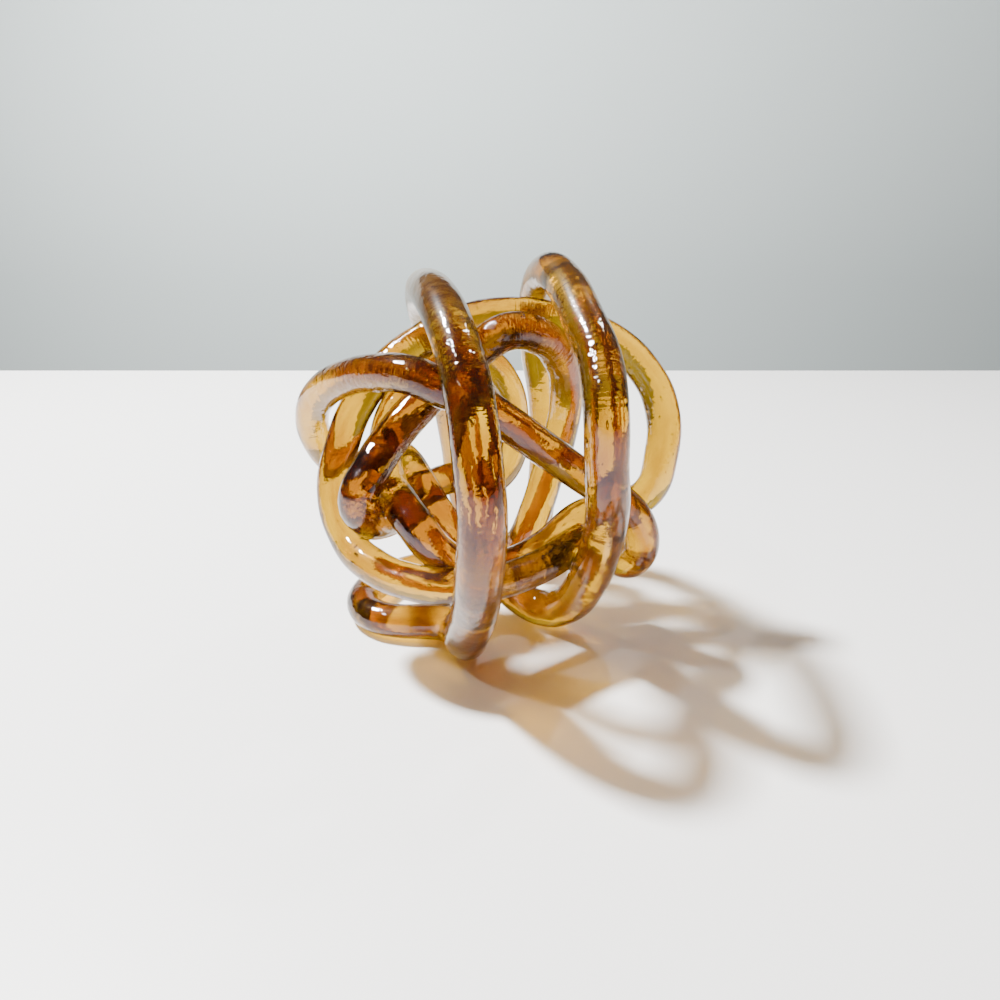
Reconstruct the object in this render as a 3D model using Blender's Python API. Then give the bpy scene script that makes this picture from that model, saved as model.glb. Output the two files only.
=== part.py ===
# An art glass ball: one long amber glass rod, wound while hot into a hollow ball of hoops and rings.
# The rod is a single length, fused where its turns lean on each other, so it is one solid.
# Metres, +Z up, the ball standing on z = 0 under its own weight, its most open side towards -Y.

import bpy
import bmesh

collection_name = "art_glass_ball"
node_name = "glass_knot"

# Driving dimensions in metres, unless said otherwise.
ball_width = 0.1439          # across X over the turns, which the whole route follows
rod_thickness = 0.0129       # its even stretches, over the corners of the facets
sides_around = 10            # facets around the rod
steps_between_points = 3     # rings along the rod from one route point to the next
rest_flat = 0.0              # height at which the underside is ground flat
ground_off = 0.02            # depth of the block that grinds the underside
end_length = 0.003           # how far each end runs past its last point
end_taper = 0.6              # thickness of the rod at its ends, as a share
weld_distance = 0.00005

# The route below was drawn in units of its own, with so many to the ball's width and the rod's thickness.
# Its zero lies beside the middle of the ball by the amount called middle, in the same units.
route_units = 143.9
rod_units = 12.5
middle = (0.7, 2.39, 0.0)

# Places of the rod's middle line with the rod's thickness there, stretch after stretch, in the order in
# which the rod was wound.
winding = {
    "side lobe": [
        (43, 8, 31, 12.5), (47, -1, 33, 12.5), (51, -8, 34, 12.5), (54, -13, 39, 12.5),
        (55, -15, 46, 12.5), (52, -16, 55, 12.5), (44, -18, 64, 12.5),
    ],
    "front crossing": [
        (32, -21, 73, 12), (19, -26, 84, 12), (6, -31, 95, 12), (-5, -34, 103, 12),
    ],
    "upper left loop": [
        (-14, -35, 107, 12.5), (-23, -32, 110, 12.5), (-34, -24, 109, 12.5), (-46, -13, 105, 12.5),
        (-58, -1, 97, 12.5), (-65, 9, 86, 12.5), (-66, 17, 74, 12.5), (-62, 24, 63, 12.5),
        (-57, 29, 58, 12.5), (-48, 30, 60, 12.5), (-40, 24, 66, 13),
    ],
    "inner strand": [
        (-33, 14, 67, 13), (-26, 4, 61, 13), (-19, -2, 51, 13), (-11, -1, 39, 13), (-3, 4, 28, 13),
        (5, 8, 17, 13.5), (13, 8, 9, 14),
    ],
    "right hoop, foot and front": [
        (22, 4, 7, 15), (30, -3, 13, 15.5), (36, -17, 32, 15.5), (38, -30, 51, 15), (38, -40, 69, 14.5),
        (36, -46, 86, 14), (35, -46, 102, 14), (34, -34, 115, 14), (30, -18, 125, 14),
    ],
    "right hoop, top and back": [
        (26, 0, 133, 14), (21, 20, 135, 14), (18, 40, 122, 14), (19, 53, 103, 14), (23, 59, 78, 14),
        (24, 59, 55, 14), (22, 54, 33, 14),
    ],
    "foot": [
        (17, 46, 17, 13.5), (6, 46.5, 8.5, 13.5), (-8, 46, 6.4, 13.5), (-22, 44, 6.4, 13.5),
        (-36, 38, 6.4, 13.5), (-47, 28, 6.4, 13.5), (-52, 16, 6.4, 13.5), (-51, 6.5, 6.4, 13.5),
        (-45, -1, 6.4, 13.5), (-36, -4.5, 6.4, 13.5), (-26, -5, 6.4, 14),
    ],
    "left hoop, foot and front": [
        (-17, -6.5, 7, 15), (-11, -13, 7.9, 16), (-8.5, -22, 10, 16), (-8, -32, 17, 16),
        (-4.5, -46, 34, 16), (-2, -60, 58, 15.5), (-1, -64, 76, 15), (-2, -62, 90, 15),
        (-4, -54, 105, 15), (-7, -43, 116, 15), (-12, -27, 126, 15),
    ],
    "left hoop, top and back": [
        (-16, -13, 130, 15), (-20, 3, 131, 14.5), (-23, 18, 129, 14), (-25, 35, 121, 13.5),
        (-23, 50, 102, 13), (-19, 58, 78, 13), (-16, 59, 58, 13), (-13, 54, 38, 13),
    ],
    "under the back": [
        (-8, 48, 25, 13), (-3, 38, 19, 13), (4, 27, 20, 13.5), (11, 19, 27, 13.5),
    ],
    "inner arch, right side": [
        (19, 20, 45, 13.5), (23, 24, 57, 13.5), (28, 30, 71, 13.5), (30, 30, 88, 13.5),
    ],
    "inner arch, top": [
        (25, 17, 107, 13.5), (17, 9, 115, 13.5), (7, 4, 117, 13.5), (-2, 4, 112, 13.5),
    ],
    "inner arch, left side": [
        (-13, 3, 102, 13.5), (-24, -4, 93, 13.5), (-33, -13, 84, 13.5), (-39, -23, 76, 13.5),
        (-43, -28, 68, 13.5), (-42, -23, 59, 13.5), (-38, -10, 52, 13.5),
    ],
    "small ring, right side": [
        (-31, 6, 51, 13), (-24, 17, 54, 13), (-15, 25, 55, 12.5), (-6, 32, 51, 12.5), (1, 38, 49, 12.5),
        (9, 45, 58, 12.5), (10, 47, 74, 12.5), (6, 43, 90, 12.5), (-4, 36, 101, 12.5),
    ],
    "small ring, left side": [
        (-16, 28, 102, 12.5), (-27, 17, 96, 12.5), (-35, 9, 87, 12.5), (-38, 3, 74, 13),
    ],
    "band below": [
        (-36, -8, 67, 13.5), (-30, -21, 63, 13.5), (-24, -29, 58, 13.5), (-17, -30, 49, 13),
        (-6, -25, 40, 13), (7, -18, 38, 12.5), (21, -8, 41, 12.5), (34, 0, 49, 12.5), (48, 6, 51, 12.5),
        (59, 5, 56, 12.5),
    ],
    "big ring, right and top": [
        (64, 7, 71, 13), (64, 12, 87, 13), (57, 16, 101, 12.5), (44, 19, 112, 12.5), (26, 22, 118, 12.5),
        (8, 25, 120, 12.5), (-11, 24, 117, 12.5), (-25, 20, 111, 12.5), (-37, 14, 103, 12.5),
    ],
    "big ring, left and bottom": [
        (-47, 6, 91, 12.5), (-53, 0, 77, 12.5), (-56, -6, 62, 12.5), (-51, -15, 48, 12.5),
        (-39, -29, 43, 13), (-24, -37, 41, 13), (-11, -38, 40, 13), (4, -32, 39, 12.5),
        (20, -21, 40, 12.5), (30, -13, 43, 12.5), (34, -10, 45, 12.5),
    ],
}


def clear_scene():
    for old in list(bpy.data.objects):
        bpy.data.objects.remove(old, do_unlink=True)


def make_collection(name):
    made = bpy.data.collections.new(name)
    bpy.context.scene.collection.children.link(made)
    return made


def glass_material():
    material = bpy.data.materials.new("amber_glass")
    material.use_nodes = True
    shader = material.node_tree.nodes["Principled BSDF"]
    shader.inputs["Base Color"].default_value = (0.86, 0.56, 0.22, 1.0)
    shader.inputs["Metallic"].default_value = 0.0
    shader.inputs["Roughness"].default_value = 0.04
    shader.inputs["IOR"].default_value = 1.5
    shader.inputs["Transmission Weight"].default_value = 1.0
    return material


def route_points():
    # The stretches run on into each other; each end gets a short, thinner tip.
    route = [point for stretch in winding.values() for point in stretch]
    unit = ball_width / route_units
    places = [(tuple(value * unit for value in point[:3]), point[3] / rod_units) for point in route]
    return [end_tip(places[0], places[1])] + places + [end_tip(places[-1], places[-2])]


def end_tip(last, before):
    (last_place, last_share), (before_place, _) = last, before
    step = [a - b for a, b in zip(last_place, before_place)]
    length = sum(part * part for part in step) ** 0.5
    tip = tuple(a + part / length * end_length for a, part in zip(last_place, step))
    return tip, last_share * end_taper


def wind_rod():
    # One smooth curve through the route, with the rod's own thickness at each point.
    curve = bpy.data.curves.new("rod_route", "CURVE")
    curve.dimensions = "3D"
    curve.bevel_depth = rod_thickness / 2
    curve.bevel_resolution = sides_around // 2 - 2
    curve.resolution_u = steps_between_points
    curve.use_fill_caps = True
    spline = curve.splines.new("BEZIER")
    points = route_points()
    spline.bezier_points.add(len(points) - 1)
    for target, (place, share) in zip(spline.bezier_points, points):
        target.co = place
        target.radius = share
        target.handle_left_type = "AUTO"
        target.handle_right_type = "AUTO"
    holder = bpy.data.objects.new("rod_route", curve)
    holder.location = [value * ball_width / route_units for value in middle]
    return holder


def grinding_block(collection):
    # A block below the floor that leaves small flats where the rod rests.
    bpy.ops.mesh.primitive_cube_add(size=1.0, location=(0, 0, rest_flat - ground_off / 2))
    block = bpy.context.object
    block.name = "grinding_block"
    block.scale = (ball_width * 2, ball_width * 2, ground_off)
    for owner in list(block.users_collection):
        owner.objects.unlink(block)
    collection.objects.link(block)
    block.hide_render = True
    block.display_type = "WIRE"
    return block


def mesh_of(holder):
    # The curve's surface as one closed mesh in world space.
    bpy.context.view_layer.update()
    seen = holder.evaluated_get(bpy.context.evaluated_depsgraph_get())
    mesh = bpy.data.meshes.new_from_object(seen)
    mesh.name = node_name
    work = bmesh.new()
    work.from_mesh(mesh)
    bmesh.ops.remove_doubles(work, verts=work.verts, dist=weld_distance)
    bmesh.ops.transform(work, matrix=holder.matrix_world, verts=work.verts)
    bmesh.ops.recalc_face_normals(work, faces=work.faces)
    work.to_mesh(mesh)
    work.free()
    return mesh


def build():
    clear_scene()
    parts = make_collection(collection_name)
    cutters = make_collection("cutters")
    holder = wind_rod()
    parts.objects.link(holder)
    mesh = mesh_of(holder)
    bpy.data.objects.remove(holder, do_unlink=True)
    knot = bpy.data.objects.new(node_name, mesh)
    parts.objects.link(knot)
    knot.data.materials.append(glass_material())
    knot.data.shade_smooth()
    # Turns that lean on each other are fused here, and the underside is ground flat in the same step.
    fuse = knot.modifiers.new("fuse_and_grind", "BOOLEAN")
    fuse.operation = "DIFFERENCE"
    fuse.solver = "EXACT"
    fuse.use_self = True
    fuse.object = grinding_block(cutters)


build()
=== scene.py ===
import bpy
import bmesh
import math
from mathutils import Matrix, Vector


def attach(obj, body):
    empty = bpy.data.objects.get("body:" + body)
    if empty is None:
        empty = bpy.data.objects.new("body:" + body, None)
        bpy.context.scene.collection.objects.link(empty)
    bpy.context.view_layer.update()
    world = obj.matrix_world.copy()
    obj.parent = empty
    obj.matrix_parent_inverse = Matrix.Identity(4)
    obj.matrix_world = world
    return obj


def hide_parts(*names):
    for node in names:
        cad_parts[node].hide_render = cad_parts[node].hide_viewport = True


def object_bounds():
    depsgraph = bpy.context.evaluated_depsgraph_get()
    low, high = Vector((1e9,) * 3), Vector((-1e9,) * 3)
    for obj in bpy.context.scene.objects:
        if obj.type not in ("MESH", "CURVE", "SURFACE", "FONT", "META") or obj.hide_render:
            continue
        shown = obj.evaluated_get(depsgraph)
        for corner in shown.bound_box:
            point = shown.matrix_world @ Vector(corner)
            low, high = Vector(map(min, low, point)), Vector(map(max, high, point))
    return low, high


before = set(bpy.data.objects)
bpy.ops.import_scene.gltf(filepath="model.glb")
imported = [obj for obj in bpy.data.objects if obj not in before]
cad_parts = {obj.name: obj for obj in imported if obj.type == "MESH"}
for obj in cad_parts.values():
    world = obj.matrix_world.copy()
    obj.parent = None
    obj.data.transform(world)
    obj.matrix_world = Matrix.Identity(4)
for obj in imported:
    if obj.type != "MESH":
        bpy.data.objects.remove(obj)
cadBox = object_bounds()
mm = 0.001

# The rod's route is the CAD solid's own: places in millimetres and the rod's thickness there.
winding = {
    "side lobe": [
        (43, 8, 31, 12.5), (47, -1, 33, 12.5), (51, -8, 34, 12.5), (54, -13, 39, 12.5),
        (55, -15, 46, 12.5), (52, -16, 55, 12.5), (44, -18, 64, 12.5),
    ],
    "front crossing": [
        (32, -21, 73, 12), (19, -26, 84, 12), (6, -31, 95, 12), (-5, -34, 103, 12),
    ],
    "upper left loop": [
        (-14, -35, 107, 12.5), (-23, -32, 110, 12.5), (-34, -24, 109, 12.5), (-46, -13, 105, 12.5),
        (-58, -1, 97, 12.5), (-65, 9, 86, 12.5), (-66, 17, 74, 12.5), (-62, 24, 63, 12.5),
        (-57, 29, 58, 12.5), (-48, 30, 60, 12.5), (-40, 24, 66, 13),
    ],
    "inner strand": [
        (-33, 14, 67, 13), (-26, 4, 61, 13), (-19, -2, 51, 13), (-11, -1, 39, 13), (-3, 4, 28, 13),
        (5, 8, 17, 13.5), (13, 8, 9, 14),
    ],
    "right hoop, foot and front": [
        (22, 4, 7, 15), (30, -3, 13, 15.5), (36, -17, 32, 15.5), (38, -30, 51, 15), (38, -40, 69, 14.5),
        (36, -46, 86, 14), (35, -46, 102, 14), (34, -34, 115, 14), (30, -18, 125, 14),
    ],
    "right hoop, top and back": [
        (26, 0, 133, 14), (21, 20, 135, 14), (18, 40, 122, 14), (19, 53, 103, 14), (23, 59, 78, 14),
        (24, 59, 55, 14), (22, 54, 33, 14),
    ],
    "foot": [
        (17, 46, 17, 13.5), (6, 46.5, 8.5, 13.5), (-8, 46, 6.4, 13.5), (-22, 44, 6.4, 13.5),
        (-36, 38, 6.4, 13.5), (-47, 28, 6.4, 13.5), (-52, 16, 6.4, 13.5), (-51, 6.5, 6.4, 13.5),
        (-45, -1, 6.4, 13.5), (-36, -4.5, 6.4, 13.5), (-26, -5, 6.4, 14),
    ],
    "left hoop, foot and front": [
        (-17, -6.5, 7, 15), (-11, -13, 7.9, 16), (-8.5, -22, 10, 16), (-8, -32, 17, 16),
        (-4.5, -46, 34, 16), (-2, -60, 58, 15.5), (-1, -64, 76, 15), (-2, -62, 90, 15),
        (-4, -54, 105, 15), (-7, -43, 116, 15), (-12, -27, 126, 15),
    ],
    "left hoop, top and back": [
        (-16, -13, 130, 15), (-20, 3, 131, 14.5), (-23, 18, 129, 14), (-25, 35, 121, 13.5),
        (-23, 50, 102, 13), (-19, 58, 78, 13), (-16, 59, 58, 13), (-13, 54, 38, 13),
    ],
    "under the back": [
        (-8, 48, 25, 13), (-3, 38, 19, 13), (4, 27, 20, 13.5), (11, 19, 27, 13.5),
    ],
    "inner arch, right side": [
        (19, 20, 45, 13.5), (23, 24, 57, 13.5), (28, 30, 71, 13.5), (30, 30, 88, 13.5),
    ],
    "inner arch, top": [
        (25, 17, 107, 13.5), (17, 9, 115, 13.5), (7, 4, 117, 13.5), (-2, 4, 112, 13.5),
    ],
    "inner arch, left side": [
        (-13, 3, 102, 13.5), (-24, -4, 93, 13.5), (-33, -13, 84, 13.5), (-39, -23, 76, 13.5),
        (-43, -28, 68, 13.5), (-42, -23, 59, 13.5), (-38, -10, 52, 13.5),
    ],
    "small ring, right side": [
        (-31, 6, 51, 13), (-24, 17, 54, 13), (-15, 25, 55, 12.5), (-6, 32, 51, 12.5), (1, 38, 49, 12.5),
        (9, 45, 58, 12.5), (10, 47, 74, 12.5), (6, 43, 90, 12.5), (-4, 36, 101, 12.5),
    ],
    "small ring, left side": [
        (-16, 28, 102, 12.5), (-27, 17, 96, 12.5), (-35, 9, 87, 12.5), (-38, 3, 74, 13),
    ],
    "band below": [
        (-36, -8, 67, 13.5), (-30, -21, 63, 13.5), (-24, -29, 58, 13.5), (-17, -30, 49, 13),
        (-6, -25, 40, 13), (7, -18, 38, 12.5), (21, -8, 41, 12.5), (34, 0, 49, 12.5), (48, 6, 51, 12.5),
        (59, 5, 56, 12.5),
    ],
    "big ring, right and top": [
        (64, 7, 71, 13), (64, 12, 87, 13), (57, 16, 101, 12.5), (44, 19, 112, 12.5), (26, 22, 118, 12.5),
        (8, 25, 120, 12.5), (-11, 24, 117, 12.5), (-25, 20, 111, 12.5), (-37, 14, 103, 12.5),
    ],
    "big ring, left and bottom": [
        (-47, 6, 91, 12.5), (-53, 0, 77, 12.5), (-56, -6, 62, 12.5), (-51, -15, 48, 12.5),
        (-39, -29, 43, 13), (-24, -37, 41, 13), (-11, -38, 40, 13), (4, -32, 39, 12.5),
        (20, -21, 40, 12.5), (30, -13, 43, 12.5), (34, -10, 45, 12.5),
    ],
}

rod = {
    "middle": (0.7, 2.39, 0.0),    # where the route's zero lies in the frame, in millimetres
    "thickness": 12.5,             # what a radius of 1 on the route stands for, in millimetres
    "endLength": 3.0,              # how far each end runs past its last point, in millimetres
    "endTaper": 0.6,
    "stepsBetweenPoints": 24,
    "ringSpacing": 1.5,            # millimetres between rings
    "sides": 28,
    "girth": 0.975,                # share of that thickness, so that the glass stays in the CAD solid's box
    "waviness": 0.010,             # slow change of thickness from the hand's work, as a share
    "waveLength": 0.02,            # metres
    "weldDistance": 0.01,          # millimetres
    "groundBlock": (0.4, 0.04),    # width and height of the block that grinds the underside, in metres
    "seamAngle": 24.0,             # degrees, above which two turns meet in a seam
    "seamRounds": 10,              # smoothing steps that melt the seam
    "seamSoftness": 0.5,           # how much each of them smooths
    "seamFloor": 0.05,             # millimetres over the table, under which nothing is smoothed
    "seed": 4,
}


def placeNode(tree, kind, x, y, **settings):
    node = tree.nodes.new(kind)
    node.location = (x, y)
    for name, value in settings.items():
        setattr(node, name, value)
    return node


def feed(tree, node, *inOrder, **byName):
    # Sockets are linked and plain values set, in the inputs' order or by name with _ for a space.
    targets = list(zip(node.inputs, inOrder))
    targets += [(node.inputs[name.replace("_", " ")], value) for name, value in byName.items()]
    for target, value in targets:
        if isinstance(value, bpy.types.NodeSocket):
            tree.links.new(value, target)
        else:
            target.default_value = value
    return node


def calculate(tree, operation, x, y, *terms, **settings):
    # A Math node's result, from sockets or plain numbers.
    node = placeNode(tree, "ShaderNodeMath", x, y, operation=operation, **settings)
    return feed(tree, node, *terms).outputs[0]


def vectorMath(tree, operation, x, y, *terms, **named):
    # A Vector Math node's result, from sockets or plain values.
    node = placeNode(tree, "ShaderNodeVectorMath", x, y, operation=operation)
    return feed(tree, node, *terms, **named).outputs[0]


def ramped(tree, value, low, high, x, y):
    # 0 at low, 1 at high, and a soft rise between them.
    node = placeNode(tree, "ShaderNodeMapRange", x, y, interpolation_type="SMOOTHSTEP")
    return feed(tree, node, Value=value, From_Min=low, From_Max=high).outputs[0]


def startTree(name, inputs):
    # A Geometry Nodes tree with those named inputs, and the identifier of each.
    tree = bpy.data.node_groups.new(name, "GeometryNodeTree")
    tree.interface.new_socket("Geometry", in_out="INPUT", socket_type="NodeSocketGeometry")
    identifiers = {}
    for label, (kind, value) in inputs.items():
        socket = tree.interface.new_socket(label, in_out="INPUT", socket_type=kind)
        if value is not None:
            socket.default_value = value
        identifiers[label] = socket.identifier
    tree.interface.new_socket("Geometry", in_out="OUTPUT", socket_type="NodeSocketGeometry")
    return tree, identifiers, placeNode(tree, "NodeGroupInput", -1400, 0).outputs


def endTree(tree, geometry, material):
    # Real, smooth geometry with its material on.
    solid = feed(tree, placeNode(tree, "GeometryNodeRealizeInstances", 1100, 0), geometry)
    smooth = feed(tree, placeNode(tree, "GeometryNodeSetShadeSmooth", 1260, 0), solid.outputs[0])
    coat = placeNode(tree, "GeometryNodeSetMaterial", 1420, 0)
    feed(tree, coat, Geometry=smooth.outputs[0], Material=material)
    feed(tree, placeNode(tree, "NodeGroupOutput", 1580, 0), coat.outputs[0])


def runNodes(holder, tree, identifiers, values):
    # Runs a node group on an object and gives back its result as a mesh.
    modifier = holder.modifiers.new(tree.name, "NODES")
    modifier.node_group = tree
    for name, value in values.items():
        modifier[identifiers[name]] = value
    bpy.context.view_layer.update()
    seen = holder.evaluated_get(bpy.context.evaluated_depsgraph_get())
    mesh = bpy.data.meshes.new_from_object(seen)
    holder.modifiers.remove(modifier)
    return mesh


def routePoints():
    route = [point for stretch in winding.values() for point in stretch]
    places = [(Vector(point[:3]), point[3] / rod["thickness"]) for point in route]
    return [endTip(places[0], places[1])] + places + [endTip(places[-1], places[-2])]


def endTip(last, before):
    step = (last[0] - before[0]).normalized() * rod["endLength"]
    return last[0] + step, last[1] * rod["endTaper"]


def makeRoute():
    # The same smooth curve as the CAD solid's, with finer steps.
    curve = bpy.data.curves.new("rodRoute", "CURVE")
    curve.dimensions = "3D"
    curve.resolution_u = rod["stepsBetweenPoints"]
    spline = curve.splines.new("BEZIER")
    points = routePoints()
    spline.bezier_points.add(len(points) - 1)
    for target, (place, share) in zip(spline.bezier_points, points):
        target.co = (place + Vector(rod["middle"])) * mm
        target.radius = share
        target.handle_left_type = "AUTO"
        target.handle_right_type = "AUTO"
    route = bpy.data.objects.new("rodRoute", curve)
    bpy.context.scene.collection.objects.link(route)
    return route


def rodNodes():
    # Curve in, round rod out: resampled, its thickness waved a little, and swept with a circle.
    tree, identifiers, given = startTree("roundRod", {
        "Thickness": ("NodeSocketFloat", 0.0125), "Ring Spacing": ("NodeSocketFloat", 0.0015),
        "Sides": ("NodeSocketInt", 28), "Waviness": ("NodeSocketFloat", 0.0),
        "Wave Length": ("NodeSocketFloat", 0.02), "Seed": ("NodeSocketInt", 0),
        "Material": ("NodeSocketMaterial", None),
    })

    def keep(geometry, name, value, x, y, **settings):
        # Stores a value on the geometry under that name.
        node = placeNode(tree, "GeometryNodeStoreNamedAttribute", x, y, **settings)
        return feed(tree, node, Geometry=geometry, Name=name, Value=value).outputs[0]

    def recall(name, kind, x, y):
        # Reads it back.
        node = placeNode(tree, "GeometryNodeInputNamedAttribute", x, y, data_type=kind)
        return feed(tree, node, Name=name).outputs["Attribute"]

    # the wave in the rod's thickness
    place = placeNode(tree, "GeometryNodeInputPosition", -1100, -300)
    pitch = calculate(tree, "DIVIDE", -900, -420, 1.0, given["Wave Length"])
    noise = placeNode(tree, "ShaderNodeTexNoise", -650, -300, noise_dimensions="4D")
    feed(tree, noise, Vector=place.outputs[0], Scale=pitch, W=given["Seed"])
    centred = calculate(tree, "SUBTRACT", -450, -300, noise.outputs["Fac"], 0.5)
    waved = calculate(tree, "MULTIPLY_ADD", -280, -300, centred, given["Waviness"], 1.0)
    radius = placeNode(tree, "GeometryNodeInputRadius", -650, -120)
    wide = calculate(tree, "MULTIPLY", -100, -150, radius.outputs[0], waved)
    # the rod's middle line, which keeps how far along it each ring lies
    resample = placeNode(tree, "GeometryNodeResampleCurve", -650, 100, mode="LENGTH")
    feed(tree, resample, Curve=given["Geometry"], Length=given["Ring Spacing"])
    setRadius = placeNode(tree, "GeometryNodeSetCurveRadius", 100, 100)
    feed(tree, setRadius, Curve=resample.outputs[0], Radius=wide)
    distance = placeNode(tree, "GeometryNodeSplineParameter", 100, 300)
    middleLine = keep(setRadius.outputs[0], "along", distance.outputs["Length"], 300, 300,
                      data_type="FLOAT", domain="POINT")
    # the circle, which keeps each side's place on it
    reach = calculate(tree, "MULTIPLY", -100, -350, given["Thickness"], 0.5)
    circle = placeNode(tree, "GeometryNodeCurvePrimitiveCircle", 100, -250)
    feed(tree, circle, Resolution=given["Sides"], Radius=reach)
    ringPlace = placeNode(tree, "GeometryNodeInputPosition", 100, -480)
    outline = keep(circle.outputs[0], "ring", ringPlace.outputs[0], 300, -300,
                   data_type="FLOAT_VECTOR", domain="POINT")
    sweep = placeNode(tree, "GeometryNodeCurveToMesh", 450, 100)
    feed(tree, sweep, Curve=middleLine, Profile_Curve=outline, Scale=wide, Fill_Caps=True)
    # the place on the straightened rod, for the marks in the glass
    lift = placeNode(tree, "ShaderNodeCombineXYZ", 620, -450)
    feed(tree, lift, Z=recall("along", "FLOAT", 450, -450))
    ring = recall("ring", "FLOAT_VECTOR", 450, -620)
    unrolled = vectorMath(tree, "ADD", 760, -520, ring, lift.outputs[0])
    marked = keep(sweep.outputs[0], "rodPlace", unrolled, 900, -300,
                  data_type="FLOAT_VECTOR", domain="CORNER")
    endTree(tree, marked, given["Material"])
    return tree, identifiers


def cutAndFuse(piece):
    # Turns that lean on each other become one surface, and the underside is ground flat.
    width, height = rod["groundBlock"]
    bpy.ops.mesh.primitive_cube_add(size=1.0, location=(0, 0, cadBox[0][2] - height / 2))
    block = bpy.context.object
    block.scale = (width, width, height)
    fuse = piece.modifiers.new("fuse", "BOOLEAN")
    fuse.operation = "DIFFERENCE"
    fuse.solver = "EXACT"
    fuse.use_self = True
    fuse.object = block
    bpy.context.view_layer.update()
    seen = piece.evaluated_get(bpy.context.evaluated_depsgraph_get())
    fused = bpy.data.meshes.new_from_object(seen)
    piece.modifiers.remove(fuse)
    bpy.data.objects.remove(block, do_unlink=True)
    piece.data = fused


def closeMesh(mesh):
    # Points that meet become one, and every face looks outwards.
    work = bmesh.new()
    work.from_mesh(mesh)
    bmesh.ops.remove_doubles(work, verts=work.verts, dist=rod["weldDistance"] * mm)
    bmesh.ops.recalc_face_normals(work, faces=work.faces)
    work.to_mesh(mesh)
    work.free()


def meltSeams(mesh):
    # The sharp line where two turns meet is smoothed into a small melted fillet.
    work = bmesh.new()
    work.from_mesh(mesh)
    limit = math.radians(rod["seamAngle"])
    floor = cadBox[0][2] + rod["seamFloor"] * mm
    seam = {vert for edge in work.edges if edge.is_manifold and edge.calc_face_angle() > limit
            for vert in edge.verts if vert.co.z > floor}
    zone = seam | {edge.other_vert(vert) for vert in seam for edge in vert.link_edges}
    zone = [vert for vert in zone if vert.co.z > floor]
    for step in range(rod["seamRounds"]):
        bmesh.ops.smooth_vert(work, verts=zone, factor=rod["seamSoftness"],
                              use_axis_x=True, use_axis_y=True, use_axis_z=True)
    work.to_mesh(mesh)
    work.free()


def makeRod():
    route = makeRoute()
    material = glassMaterial(route.data.splines[0].calc_length())
    tree, identifiers = rodNodes()
    mesh = runNodes(route, tree, identifiers, {
        "Thickness": rod["thickness"] * mm * rod["girth"], "Ring Spacing": rod["ringSpacing"] * mm,
        "Sides": rod["sides"], "Waviness": rod["waviness"], "Wave Length": rod["waveLength"],
        "Seed": rod["seed"], "Material": material,
    })
    closeMesh(mesh)
    piece = bpy.data.objects.new("glassKnot", mesh)
    bpy.context.scene.collection.objects.link(piece)
    cutAndFuse(piece)
    meltSeams(piece.data)
    piece.data.shade_smooth()
    print("rod", len(piece.data.polygons), "faces")
    return piece, route


seeds = {
    "count": 640,
    "small": 0.25, "large": 0.9,       # millimetres across
    "rareness": 3.0,                   # higher leaves fewer large ones
    "stretch": 3.5,                    # how many times longer than wide the longest is drawn
    "spread": 0.72,                    # how far out towards the rod's surface they lie, as a share
    "sides": 8, "rings": 6,            # of each bubble's mesh
    "seed": 11,
}


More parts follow.
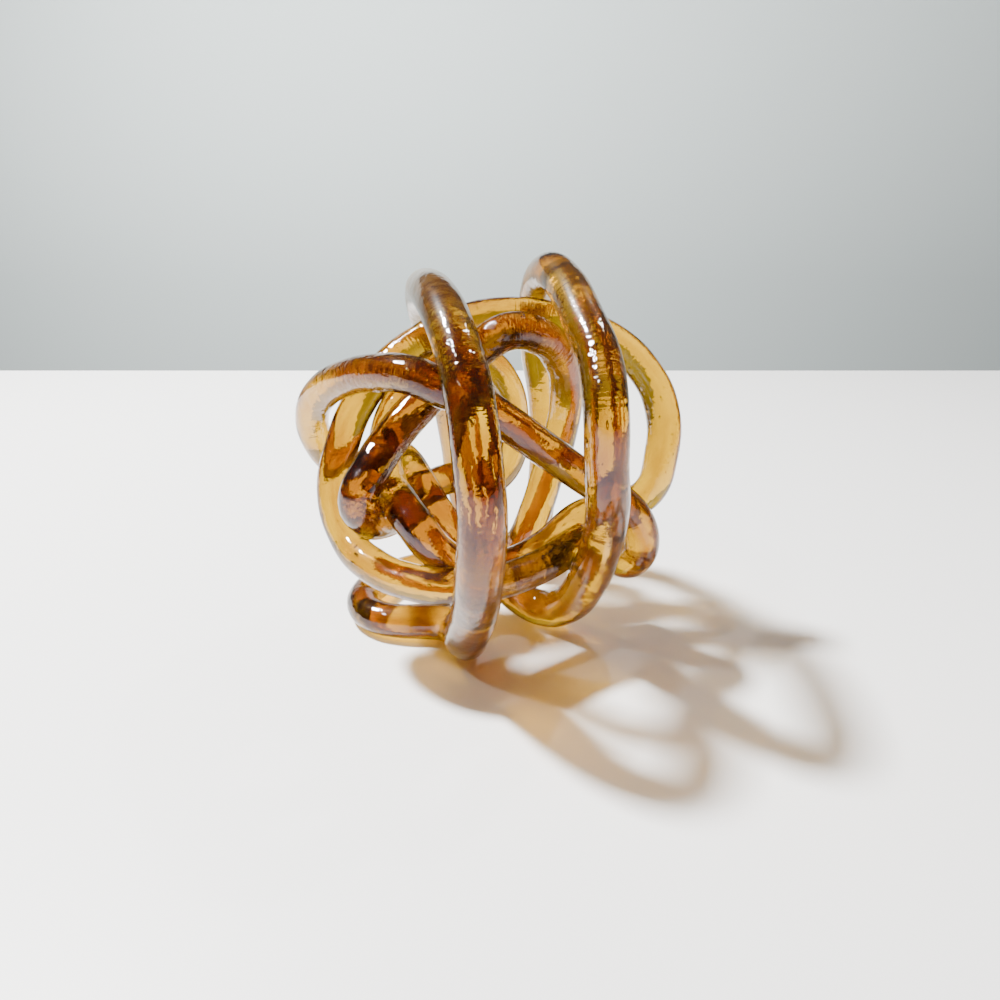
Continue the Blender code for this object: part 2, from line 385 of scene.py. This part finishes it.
def seedNodes():
    # Air sealed in the glass: small drawn-out bubbles scattered inside the rod, along its whole length.
    tree, identifiers, given = startTree("sealedAir", {
        "Count": ("NodeSocketInt", 400), "Rod Thickness": ("NodeSocketFloat", 0.0125),
        "Small": ("NodeSocketFloat", 0.0003), "Large": ("NodeSocketFloat", 0.001),
        "Stretch": ("NodeSocketFloat", 3.0), "Spread": ("NodeSocketFloat", 0.7),
        "Seed": ("NodeSocketInt", 0), "Material": ("NodeSocketMaterial", None),
    })

    def chance(number, y, **limits):
        # One random value for each bubble, with a seed of its own.
        seed = calculate(tree, "ADD", -1100, y, given["Seed"], float(number))
        node = placeNode(tree, "FunctionNodeRandomValue", -900, y, data_type="FLOAT")
        return feed(tree, node, Seed=seed, **limits).outputs["Value"]

    turn = chance(0, -200, Max=2 * math.pi)
    outward = chance(1, -400)
    size = chance(2, -800)
    drawnOut = chance(3, -1000, Min=1.0, Max=given["Stretch"])
    scatter = placeNode(tree, "GeometryNodeCurveToPoints", -900, 100, mode="COUNT")
    feed(tree, scatter, Curve=given["Geometry"], Count=given["Count"])
    # how far from the rod's middle line, and to which side
    radius = placeNode(tree, "GeometryNodeInputRadius", -900, -600)
    even = calculate(tree, "SQRT", -700, -400, outward)
    thickness = calculate(tree, "MULTIPLY", -700, -600, radius.outputs[0], given["Rod Thickness"])
    room = calculate(tree, "MULTIPLY", -520, -600, thickness, given["Spread"])
    across = calculate(tree, "MULTIPLY", -520, -400, even, room)
    far = calculate(tree, "MULTIPLY", -340, -400, across, 0.5)
    normal, tangent = scatter.outputs["Normal"], scatter.outputs["Tangent"]
    side = vectorMath(tree, "CROSS_PRODUCT", -700, 300, tangent, normal)
    cosine = calculate(tree, "COSINE", -520, -120, turn)
    sine = calculate(tree, "SINE", -520, -240, turn)
    alongNormal = vectorMath(tree, "SCALE", -300, 200, normal, Scale=cosine)
    alongSide = vectorMath(tree, "SCALE", -300, 0, side, Scale=sine)
    way = vectorMath(tree, "ADD", -120, 100, alongNormal, alongSide)
    offset = vectorMath(tree, "SCALE", 50, 100, way, Scale=far)
    moved = placeNode(tree, "GeometryNodeSetPosition", 230, 200)
    feed(tree, moved, Geometry=scatter.outputs["Points"], Offset=offset)
    # each bubble's own width and length
    rare = calculate(tree, "POWER", 50, -300, size, seeds["rareness"])
    width = placeNode(tree, "ShaderNodeMapRange", 230, -300)
    width = feed(tree, width, Value=rare, To_Min=given["Small"], To_Max=given["Large"]).outputs[0]
    length = calculate(tree, "MULTIPLY", 400, -450, width, drawnOut)
    scale = feed(tree, placeNode(tree, "ShaderNodeCombineXYZ", 560, -300), width, width, length)
    ball = placeNode(tree, "GeometryNodeMeshUVSphere", 230, 0)
    feed(tree, ball, Segments=seeds["sides"], Rings=seeds["rings"], Radius=0.5)
    instances = placeNode(tree, "GeometryNodeInstanceOnPoints", 720, 100)
    feed(tree, instances, Points=moved.outputs[0], Instance=ball.outputs["Mesh"],
         Rotation=scatter.outputs["Rotation"], Scale=scale.outputs[0])
    endTree(tree, instances.outputs[0], given["Material"])
    return tree, identifiers


def airMaterial():
    # From inside the glass a bubble bends light the other way.
    material = bpy.data.materials.new("sealedAir")
    material.use_nodes = True
    tree = material.node_tree
    tree.nodes.remove(tree.nodes["Principled BSDF"])
    air = placeNode(tree, "ShaderNodeBsdfGlass", 0, 200)
    feed(tree, air, Color=(1.0, 1.0, 1.0, 1.0), Roughness=0.0, IOR=1 / glass["refraction"])
    feed(tree, tree.nodes["Material Output"], Surface=air.outputs[0])
    return material


def makeSeeds(route):
    tree, identifiers = seedNodes()
    mesh = runNodes(route, tree, identifiers, {
        "Count": seeds["count"], "Rod Thickness": rod["thickness"] * mm * rod["girth"],
        "Small": seeds["small"] * mm, "Large": seeds["large"] * mm, "Stretch": seeds["stretch"],
        "Spread": seeds["spread"], "Seed": seeds["seed"], "Material": airMaterial(),
    })
    piece = bpy.data.objects.new("sealedAir", mesh)
    bpy.context.scene.collection.objects.link(piece)
    print("sealed air", seeds["count"], "bubbles")
    return piece


glass = {
    "pale": (0.53, 0.312, 0.012, 1.0),     # tint of the clear golden stretches
    "ruddy": (0.25, 0.090, 0.004, 1.0),    # tint of the brown stretches, and of the painted shade on the hoops' upper front legs
    "paintedRimShade": (0.10, 0.042, 0.004, 1.0),      # painted shade: a darker tint at the edges, where the eye looks along the surface, standing in for the dark surroundings seen through glass edges
    "paintedRimShadeStart": 0.34, "paintedRimShadeFull": 0.80,     # where that painted shade starts and is full, from 0 facing the eye to 1 edge on
    "clear": 0.01, "milky": 0.24,          # roughness with no veil and under a full one
    "refraction": 1.5,
    "shine": 0.32,                         # how strongly the surface mirrors; 0.5 is plain glass
    "amber": (0.93, 0.80, 0.0, 1.0),       # what a thick stretch lets through
    "depth": 45.0,                         # how strongly the glass takes light, for each metre
    "film": 190.0, "filmRefraction": 1.55,    # the lustre, a film so many nanometres thick
    "veil": (0.97, 0.82, 0.60, 1.0),       # tint of the veil, a coat over the glass
    "veilWeight": 0.32, "veilRoughness": 0.32, "veilRefraction": 1.7,
    "cast": (0.29, 0.23, 0.12, 1.0),       # what each surface lets through into the shadow
    "relief": 0.00035,                     # height of the marks, in metres
}

# The marks in the rod. Sizes are metres. A pair says where a mask starts and where it is full.
marks = {
    "lineWidth": 0.0011, "combPitch": 0.0009, "wrinkle": 0.006, "patchSize": 0.030,
    "lineAlong": 0.03, "wrinkleAlong": 0.7, "crackleAlong": 0.6, "streakAlong": 0.14,    # lower is longer
    "combAround": 0.06,                    # lower keeps the combed rings straighter
    "crackleFineness": 3.2, "streakFineness": 1.3, "veilFineness": 1.4, "veilUpright": 1.6,
    "patch": (0.42, 0.66), "veilPatch": (0.40, 0.66), "veilPatches": 0.12,
    "crown": (0.118, 0.136),               # height of the veil on the crowns of the hoops
    "legTop": (0.082, 0.058), "legFoot": (0.006, 0.022),    # height of the veil on the front legs
    "legFront": (-0.018, -0.040),          # how far to the front those legs lie
    "veilAmount": 0.42,
    "leastBrown": 0.72, "patchBrown": 0.5,    # how the soft patches change the brown
    "streakAmount": 1.9, "streak": (1.02, 1.85), "rough": (0.2, 1.8),
    "bandFoot": (0.098, 0.106), "bandTop": (0.130, 0.120),    # height of the crackled band on the hoops
    "crackleHeight": 0.55, "combHeight": 0.10, "bandComb": 0.40, "bandCrackle": 0.45, "lineHeight": 0.20,
}

# How brown the glass is along the rod, from 0 to 1, at even steps in each stretch. The 0.95 on the left
# hoop's front and the 0.85 on the right hoop's front are painted shade, standing in for the dark room seen
# in the glass there.
brownAndShadeAlongRod = {
    "side lobe": (0.5,), "front crossing": (0.7,), "upper left loop": (0.6, 0.35, 0.25),
    "inner strand": (0.9,), "right hoop, foot and front": (0.3, 0.3, 0.25, 0.85, 0.55),
    "right hoop, top and back": (0.3,), "foot": (0.6,),
    "left hoop, foot and front": (0.5, 0.3, 0.95, 0.4), "left hoop, top and back": (0.35,),
    "under the back": (0.4,), "inner arch, right side": (0.3,), "inner arch, top": (1.0,),
    "inner arch, left side": (0.8, 0.9), "small ring, right side": (0.7, 0.35),
    "small ring, left side": (0.6,), "band below": (0.8, 0.35),
    "big ring, right and top": (0.1, 0.45), "big ring, left and bottom": (0.3, 0.25),
}


def brownAndShadeSteps():
    # The share of the rod's length and the brownness there, painted shade included, for each step.
    places = [Vector(point[:3]) for stretch in winding.values() for point in stretch]
    gaps = [(after - before).length for before, after in zip(places, places[1:])] + [0.0]
    steps, first, gone = [], 0, 0.0
    for name, stretch in winding.items():
        last = first + len(stretch) - 1
        length = sum(gaps[first:last])
        values = brownAndShadeAlongRod[name]
        for number, value in enumerate(values):
            middle = gone + length * (number + 0.5) / len(values)
            steps.append((middle / sum(gaps), value))
        gone += length + gaps[last]
        first = last + 1
    return steps


def rodMarks():
    # What the hand left in the hot glass: streaks of brown, the veil, and the relief of lines,
    # wrinkles, combed rings and crackle. The brown also carries painted shade on the hoops' upper front
    # legs.
    tree = bpy.data.node_groups.new("rodMarks", "ShaderNodeTree")
    for name, value in (("Line Width", 0.001), ("Comb Pitch", 0.001), ("Wrinkle", 0.006),
                        ("Patch Size", 0.03), ("Rod Length", 2.0)):
        tree.interface.new_socket(name, in_out="INPUT", socket_type="NodeSocketFloat").default_value = value
    for name in ("Height", "Brown", "Veil"):
        tree.interface.new_socket(name, in_out="OUTPUT", socket_type="NodeSocketFloat")
    given = placeNode(tree, "NodeGroupInput", -1400, 0).outputs
    onRod = placeNode(tree, "ShaderNodeAttribute", -1400, 300, attribute_name="rodPlace").outputs["Vector"]
    inBall = placeNode(tree, "ShaderNodeTexCoord", -1400, -300).outputs["Object"]

    def noiseAt(place, width, stretch, detail, y, fineness=1.0):
        # A noise with marks of that width, its place first multiplied by stretch.
        rate = calculate(tree, "DIVIDE", -1150, y, fineness, width)
        shape = vectorMath(tree, "MULTIPLY", -950, y, place, stretch)
        noise = placeNode(tree, "ShaderNodeTexNoise", -750, y)
        return feed(tree, noise, Vector=shape, Scale=rate, Detail=detail).outputs["Fac"]

    lines = noiseAt(onRod, given["Line Width"], (1.0, 1.0, marks["lineAlong"]), 2.0, 500)
    wrinkles = noiseAt(onRod, given["Wrinkle"], (1.0, 1.0, marks["wrinkleAlong"]), 3.0, 250)
    combed = noiseAt(onRod, given["Comb Pitch"], (marks["combAround"], marks["combAround"], 1.0), 1.0, 0)
    streaks = noiseAt(onRod, given["Wrinkle"], (1.0, 1.0, marks["streakAlong"]), 3.0, 1500,
                      marks["streakFineness"])
    crackle = noiseAt(onRod, given["Wrinkle"], (1.0, 1.0, marks["crackleAlong"]), 2.0, 1200,
                      marks["crackleFineness"])
    patches = noiseAt(inBall, given["Patch Size"], (1.0, 1.0, 1.0), 2.0, -250)
    veilNoise = noiseAt(inBall, given["Patch Size"], (1.0, 1.0, marks["veilUpright"]), 3.0, -500,
                        marks["veilFineness"])
    patch = ramped(tree, patches, *marks["patch"], -500, -250)
    veilPatch = ramped(tree, veilNoise, *marks["veilPatch"], -500, -500)

    # the veil lies thickest on the crowns of the hoops and on their lower front legs
    parts = feed(tree, placeNode(tree, "ShaderNodeSeparateXYZ", -950, -700), inBall).outputs
    crown = ramped(tree, parts["Z"], *marks["crown"], -700, -700)
    belowTop = ramped(tree, parts["Z"], *marks["legTop"], -700, -900)
    aboveFoot = ramped(tree, parts["Z"], *marks["legFoot"], -700, -1300)
    atFront = ramped(tree, parts["Y"], *marks["legFront"], -700, -1100)
    leg = calculate(tree, "MULTIPLY", -580, -900, belowTop, aboveFoot)
    frontLeg = calculate(tree, "MULTIPLY", -450, -900, leg, atFront)
    thickest = calculate(tree, "MAXIMUM", -280, -800, crown, frontLeg)
    thin = calculate(tree, "MULTIPLY", -280, -500, veilPatch, marks["veilPatches"])
    veil = calculate(tree, "MULTIPLY_ADD", -100, -600, thickest, marks["veilAmount"], thin, use_clamp=True)

    # how brown the glass is along the rod, with painted shade on the hoops' upper front legs, and soft
    # patches over it
    along = feed(tree, placeNode(tree, "ShaderNodeSeparateXYZ", -900, 900), onRod)
    share = calculate(tree, "DIVIDE", -700, 900, along.outputs["Z"], given["Rod Length"])
    ramp = feed(tree, placeNode(tree, "ShaderNodeValToRGB", -500, 900), share)
    stops = ramp.color_ramp.elements
    stops.remove(stops[1])
    for number, (place, value) in enumerate(brownAndShadeSteps()):
        stop = stops.new(place) if number else stops[0]
        stop.position = place
        stop.color = (value, value, value, 1.0)
    uneven = calculate(tree, "MULTIPLY_ADD", -300, 700, patch, marks["patchBrown"], marks["leastBrown"])
    mottled = calculate(tree, "MULTIPLY", -100, 800, ramp.outputs[0], uneven)
    # brown and gold run in streaks, drawn out along the rod
    streaked = calculate(tree, "MULTIPLY_ADD", 60, 1000, streaks, marks["streakAmount"], mottled)
    brownAndShadeMask = ramped(tree, streaked, *marks["streak"], 220, 1000)

    # crackle in the brown stretches, combed rings in the patches, both in a band on the hoops, and lines
    rough = ramped(tree, streaked, *marks["rough"], 220, 1300)
    overFoot = ramped(tree, parts["Z"], *marks["bandFoot"], 220, 1500)
    underTop = ramped(tree, parts["Z"], *marks["bandTop"], 220, 1700)
    band = calculate(tree, "MULTIPLY", 400, 1600, overFoot, underTop)
    height = wrinkles
    terms = ((crackle, rough, "crackleHeight"), (combed, patch, "combHeight"), (combed, band, "bandComb"),
             (crackle, band, "bandCrackle"), (lines, 1.0, "lineHeight"))
    for number, (pattern, where, strength) in enumerate(terms):
        masked = calculate(tree, "MULTIPLY", 100, 300 * number, pattern, where)
        height = calculate(tree, "MULTIPLY_ADD", 300, 300 * number, masked, marks[strength], height)
    feed(tree, placeNode(tree, "NodeGroupOutput", 900, 0), Height=height, Brown=brownAndShadeMask, Veil=veil)
    return tree


def glassMaterial(length):
    material = bpy.data.materials.new("amberGlass")
    material.use_nodes = True
    tree = material.node_tree
    shader = tree.nodes["Principled BSDF"]
    made = placeNode(tree, "ShaderNodeGroup", -900, 0, node_tree=rodMarks())
    feed(tree, made, Line_Width=marks["lineWidth"], Comb_Pitch=marks["combPitch"],
         Wrinkle=marks["wrinkle"], Patch_Size=marks["patchSize"], Rod_Length=length)
    height, brownAndShadeMask, veil = (made.outputs[name] for name in ("Height", "Brown", "Veil"))
    # the tint runs from pale gold to ruddy; the ruddy is brown glass, and painted shade on the hoops' upper
    # front legs
    tint = placeNode(tree, "ShaderNodeMix", -500, 300, data_type="RGBA")
    feed(tree, tint, Factor=brownAndShadeMask, A=glass["pale"], B=glass["ruddy"])
    # painted shade: the tint darkens where the surface turns from the eye, standing in for the dark
    # surroundings that the rod's edges show
    facing = feed(tree, placeNode(tree, "ShaderNodeLayerWeight", -700, 600), Blend=0.5).outputs["Facing"]
    # painted shade mask: 0 facing the eye, 1 at the edges
    edge = ramped(tree, facing, glass["paintedRimShadeStart"], glass["paintedRimShadeFull"], -500, 600)
    withPaintedRimShade = placeNode(tree, "ShaderNodeMix", -250, 400, data_type="RGBA")
    feed(tree, withPaintedRimShade, Factor=edge, A=tint.outputs["Result"], B=glass["paintedRimShade"])
    rough = placeNode(tree, "ShaderNodeMapRange", -500, 0)
    feed(tree, rough, Value=veil, To_Min=glass["clear"], To_Max=glass["milky"])
    relief = placeNode(tree, "ShaderNodeBump", -500, -300)
    feed(tree, relief, Strength=1.0, Distance=glass["relief"], Height=height)
    feed(tree, shader, Base_Color=withPaintedRimShade.outputs["Result"], Roughness=rough.outputs[0],
         Coat_Weight=calculate(tree, "MULTIPLY", -250, -150, veil, glass["veilWeight"]),
         Normal=relief.outputs[0])
    feed(tree, shader, Metallic=0.0, IOR=glass["refraction"], Transmission_Weight=1.0,
         Specular_IOR_Level=glass["shine"], Thin_Film_Thickness=glass["film"],
         Thin_Film_IOR=glass["filmRefraction"], Coat_Roughness=glass["veilRoughness"],
         Coat_IOR=glass["veilRefraction"], Coat_Tint=glass["veil"])
    # a lamp's light goes through, so that the shadow is tinted
    ray = placeNode(tree, "ShaderNodeLightPath", 0, 400).outputs["Is Shadow Ray"]
    cast = feed(tree, placeNode(tree, "ShaderNodeBsdfTransparent", 0, 100), Color=glass["cast"])
    either = feed(tree, placeNode(tree, "ShaderNodeMixShader", 250, 100),
                  ray, shader.outputs[0], cast.outputs[0])
    inside = placeNode(tree, "ShaderNodeVolumeAbsorption", 0, -500)
    feed(tree, inside, Color=glass["amber"], Density=glass["depth"])
    feed(tree, tree.nodes["Material Output"], Surface=either.outputs[0], Volume=inside.outputs[0])
    return material


studio = {
    "floorColor": (0.86, 0.85, 0.83, 1.0), "floorRoughness": 0.45,
    "wallColor": (0.77, 0.86, 0.85, 1.0), "wallRoughness": 0.9,
    "width": 6.0,                # of table and backdrop, in metres like the next five
    "floorFront": -3.0, "floorBack": 0.465,    # where the table starts and ends, along Y
    "wallPlace": 1.2, "wallHeight": 3.0,       # where the backdrop stands, along Y, and its height
    "wallTop": 0.52,             # its top above the table; over it the dim room is mirrored in the crowns
    "gap": 0.1,                  # millimetres between the ball and the table, so that no faces coincide
    "aim": (0, 0, 0.07),         # what the lamps look at, in metres
    "keyPlace": (-0.66, 0.25, 1.14), "keySize": 0.14, "keyPower": 88.0,
    "glintPlaces": ((0.45, 0.45, 0.95), (-0.55, -0.3, 0.9)), "glintSize": 0.04, "glintPower": 2.2,
    "sky": (0.80, 0.76, 0.78, 1.0), "skyStrength": 0.16, "room": (0.26, 0.23, 0.21, 1.0),
    "skyLean": 0.9, "skyRise": (-0.35, 0.6),   # how height counts, and where room turns to sky
    "cameraPlace": (4.7, -255.2, 162.4),       # millimetres
    "cameraPitch": 22.5, "lens": 27.0, "sensor": 36.0, "nearest": 0.01,
}


def plainMaterial(name, color, roughness):
    material = bpy.data.materials.new(name)
    material.use_nodes = True
    shader = material.node_tree.nodes["Principled BSDF"]
    feed(material.node_tree, shader, Base_Color=color, Roughness=roughness)
    return material


def makePlane(name, place, turn, width, height, material):
    bpy.ops.mesh.primitive_plane_add(size=1.0, location=place, rotation=(math.radians(turn), 0, 0))
    plane = bpy.context.object
    plane.name = name
    plane.scale = (width, height, 1)
    plane.data.materials.append(material)
    return plane


def areaLight(name, place, size, power):
    data = bpy.data.lights.new(name, "AREA")
    data.size = size
    data.energy = power
    lamp = bpy.data.objects.new(name, data)
    lamp.location = place
    lamp.rotation_euler = (Vector(studio["aim"]) - Vector(place)).to_track_quat("-Z", "Y").to_euler()
    bpy.context.scene.collection.objects.link(lamp)


def makeStudio():
    front, back = studio["floorFront"], studio["floorBack"]
    floorPlace = (0, (back + front) / 2, cadBox[0][2] - studio["gap"] * mm)
    floorCoat = plainMaterial("tableTop", studio["floorColor"], studio["floorRoughness"])
    floor = makePlane("table", floorPlace, 0, studio["width"], back - front, floorCoat)
    wallPlace = (0, studio["wallPlace"], studio["wallTop"] - studio["wallHeight"] / 2)
    wallCoat = plainMaterial("backdropPaint", studio["wallColor"], studio["wallRoughness"])
    wall = makePlane("backdrop", wallPlace, 90, studio["width"], studio["wallHeight"], wallCoat)
    areaLight("key", studio["keyPlace"], studio["keySize"], studio["keyPower"])
    for place in studio["glintPlaces"]:
        areaLight("glint", place, studio["glintSize"], studio["glintPower"])
    makeSky()


def makeSky():
    # Pale behind and above, and darker on the side where the viewer stands, as in a room with one window.
    world = bpy.data.worlds.new("sky")
    world.use_nodes = True
    tree = world.node_tree
    way = placeNode(tree, "ShaderNodeTexCoord", -900, 0).outputs["Generated"]
    parts = feed(tree, placeNode(tree, "ShaderNodeSeparateXYZ", -700, 0), way).outputs
    lean = calculate(tree, "MULTIPLY_ADD", -500, 0, parts["Z"], studio["skyLean"], parts["Y"])
    share = ramped(tree, lean, *studio["skyRise"], -300, 0)
    paint = placeNode(tree, "ShaderNodeMix", -100, 0, data_type="RGBA")
    feed(tree, paint, Factor=share, A=studio["room"], B=studio["sky"])
    feed(tree, tree.nodes["Background"], Color=paint.outputs["Result"], Strength=studio["skyStrength"])
    bpy.context.scene.world = world


def makeCamera():
    data = bpy.data.cameras.new("photoView")
    data.lens = studio["lens"]
    data.sensor_width = studio["sensor"]
    data.clip_start = studio["nearest"]
    camera = bpy.data.objects.new("photoView", data)
    camera.location = Vector(studio["cameraPlace"]) * mm
    camera.rotation_euler = (math.radians(90 - studio["cameraPitch"]), 0, 0)
    bpy.context.scene.collection.objects.link(camera)
    bpy.context.scene.camera = camera


makeCamera()
makeStudio()
print("studio and camera done")
knot, route = makeRod()
air = makeSeeds(route)
bpy.data.objects.remove(route, do_unlink=True)
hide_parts("glass_knot")
for piece in (knot, air):
    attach(piece, "root")
print("rod and bubbles done")
